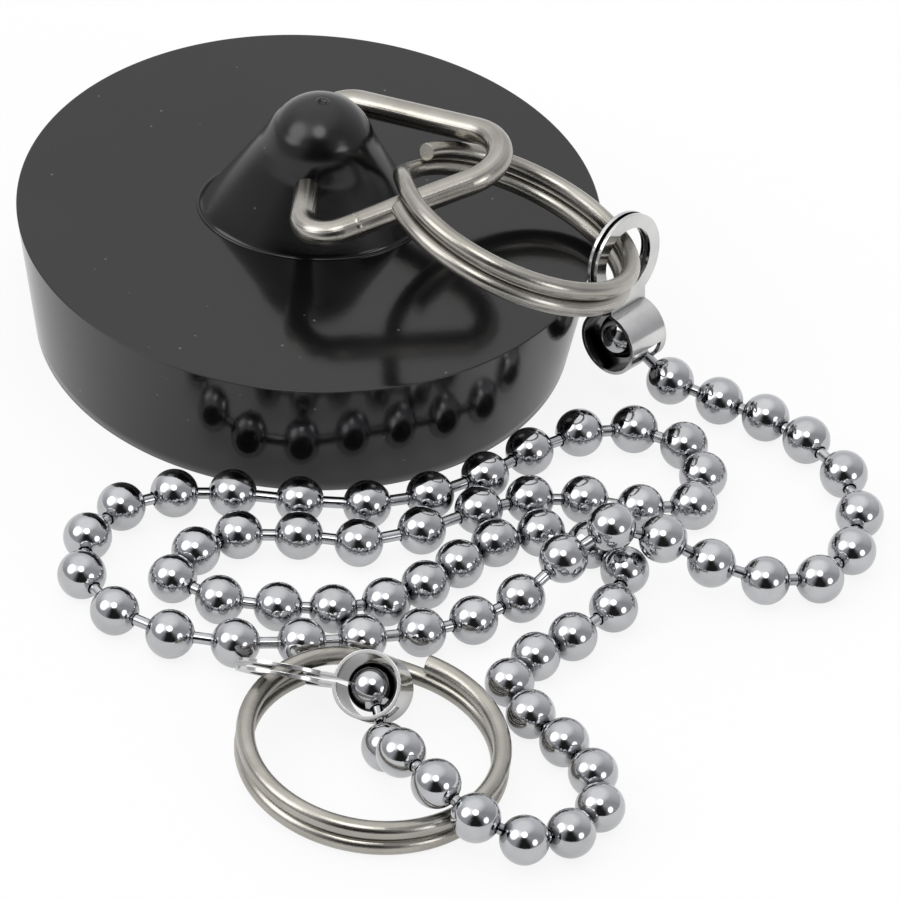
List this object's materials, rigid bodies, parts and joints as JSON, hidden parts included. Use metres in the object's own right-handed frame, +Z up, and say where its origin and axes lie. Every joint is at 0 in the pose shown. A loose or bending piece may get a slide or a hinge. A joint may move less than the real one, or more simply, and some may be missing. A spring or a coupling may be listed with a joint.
{
  "type": "sink drain stopper on a ball chain",
  "caption": "Tapered rubber drain plug with a boss, wire link, split rings, folded couplings and a bead chain, lying slack.",
  "frame": {"origin": "centre of the stopper's underside", "axes": "+Z up, out of the drain; -Y towards the heap of chain in front of the stopper"},
  "size_m": [0.0583, 0.0747, 0.0186],
  "materials": {
    "rubber": "moulded black rubber, glossy on top",
    "satin_wire": "drawn satin wire",
    "plated_sheet": "bright plated sheet",
    "plated_chain": "bright plated beads"
  },
  "bodies": {
    "lower_ring": {"lower_split_ring": "satin_wire"},
    "lower_coupling": {"lower_coupling": "plated_sheet"},
    "chain_12": {"chain_balls_12": "plated_chain", "chain_pins_12": "plated_chain"},
    "chain_11": {"chain_balls_11": "plated_chain", "chain_pins_11": "plated_chain"},
    "chain_10": {"chain_balls_10": "plated_chain", "chain_pins_10": "plated_chain"},
    "chain_9": {"chain_balls_9": "plated_chain", "chain_pins_9": "plated_chain"},
    "chain_8": {"chain_balls_8": "plated_chain", "chain_pins_8": "plated_chain"},
    "chain_7": {"chain_balls_7": "plated_chain", "chain_pins_7": "plated_chain"},
    "chain_6": {"chain_balls_6": "plated_chain", "chain_pins_6": "plated_chain"},
    "chain_5": {"chain_balls_5": "plated_chain", "chain_pins_5": "plated_chain"},
    "chain_4": {"chain_balls_4": "plated_chain", "chain_pins_4": "plated_chain"},
    "chain_3": {"chain_balls_3": "plated_chain", "chain_pins_3": "plated_chain"},
    "chain_2": {"chain_balls_2": "plated_chain", "chain_pins_2": "plated_chain"},
    "chain_1": {"chain_balls_1": "plated_chain", "chain_pins_1": "plated_chain"},
    "upper_coupling": {"upper_coupling": "plated_sheet"},
    "upper_ring": {"upper_split_ring": "satin_wire"},
    "triangle_link": {"triangle_link": "satin_wire"},
    "stopper": {"stopper": "rubber"}
  },
  "joints": [
    {"name": "lower_ring_turn", "type": "hinge", "parent": "lower_ring", "child": "lower_coupling", "pos_m": [0.006, -0.0452, 0.00181], "axis": [0.0488, -0.0395, 0.998], "range_deg": [-10, 0]},
    {"name": "lower_barrel_swing", "type": "hinge", "parent": "lower_coupling", "child": "chain_12", "pos_m": [0.00579, -0.04095, 0.00316], "axis": [-0.2561, -0.6805, 0.6866], "range_deg": [0, 2]},
    {"name": "chain_bend_11", "type": "hinge", "parent": "chain_12", "child": "chain_11", "pos_m": [0.01702, -0.0529, 0.00199], "axis": [0.9135, -0.4067, 0], "range_deg": [0, 16]},
    {"name": "chain_bend_10", "type": "hinge", "parent": "chain_11", "child": "chain_10", "pos_m": [0.01529, -0.03663, 0.0016], "axis": [0.9781, 0.2079, 0], "range_deg": [0, 16]},
    {"name": "chain_bend_9", "type": "hinge", "parent": "chain_10", "child": "chain_9", "pos_m": [0.01493, -0.02336, 0.0016], "axis": [0.9511, -0.309, 0], "range_deg": [0, 6]},
    {"name": "chain_bend_8", "type": "hinge", "parent": "chain_9", "child": "chain_8", "pos_m": [-0.00199, -0.03162, 0.0016], "axis": [0.9945, 0.1045, 0], "range_deg": [0, 16]},
    {"name": "chain_bend_7", "type": "hinge", "parent": "chain_8", "child": "chain_7", "pos_m": [0.00588, -0.02428, 0.0016], "axis": [0.9945, -0.1045, 0], "range_deg": [0, 6]},
    {"name": "chain_bend_6", "type": "hinge", "parent": "chain_7", "child": "chain_6", "pos_m": [0.02658, -0.01759, 0.0016], "axis": [-0.5878, 0.809, 0], "range_deg": [0, 14]},
    {"name": "chain_bend_5", "type": "hinge", "parent": "chain_6", "child": "chain_5", "pos_m": [0.01129, -0.01803, 0.0016], "axis": [0.809, -0.5878, 0], "range_deg": [0, 8]},
    {"name": "chain_bend_4", "type": "hinge", "parent": "chain_5", "child": "chain_4", "pos_m": [-0.01188, -0.02387, 0.0016], "axis": [0.2079, -0.9781, 0], "range_deg": [0, 16]},
    {"name": "chain_bend_3", "type": "hinge", "parent": "chain_4", "child": "chain_3", "pos_m": [0.00262, -0.03493, 0.00162], "axis": [0.7431, -0.6691, 0], "range_deg": [0, 10]},
    {"name": "chain_bend_2", "type": "hinge", "parent": "chain_3", "child": "chain_2", "pos_m": [0.02215, -0.02588, 0.0047], "axis": [0.9781, -0.2079, 0], "range_deg": [0, 16]},
    {"name": "chain_bend_1", "type": "hinge", "parent": "chain_2", "child": "chain_1", "pos_m": [0.03685, -0.01753, 0.00162], "axis": [0.9511, 0.309, 0], "range_deg": [0, 14]},
    {"name": "upper_barrel_swing", "type": "hinge", "parent": "chain_1", "child": "upper_coupling", "pos_m": [0.0214, -0.00523, 0.00467], "axis": [0.6524, 0.7553, -0.0624], "range_deg": [0, 8]},
    {"name": "upper_eye_swing", "type": "hinge", "parent": "upper_coupling", "child": "upper_ring", "pos_m": [0.02062, -0.00447, 0.01109], "axis": [-0.3448, 0.9367, -0.0614], "range_deg": [0, 8]},
    {"name": "upper_ring_lift", "type": "hinge", "parent": "upper_ring", "child": "triangle_link", "pos_m": [0.00608, -0.00691, 0.01544], "axis": [0.8964, 0.3991, 0.1931], "range_deg": [0, 12]},
    {"name": "link_swing", "type": "hinge", "parent": "triangle_link", "child": "stopper", "pos_m": [-0.00009, -0.0015, 0.014], "axis": [0.0593, 0.9982, 0], "range_deg": [0, 25]}
  ]
}
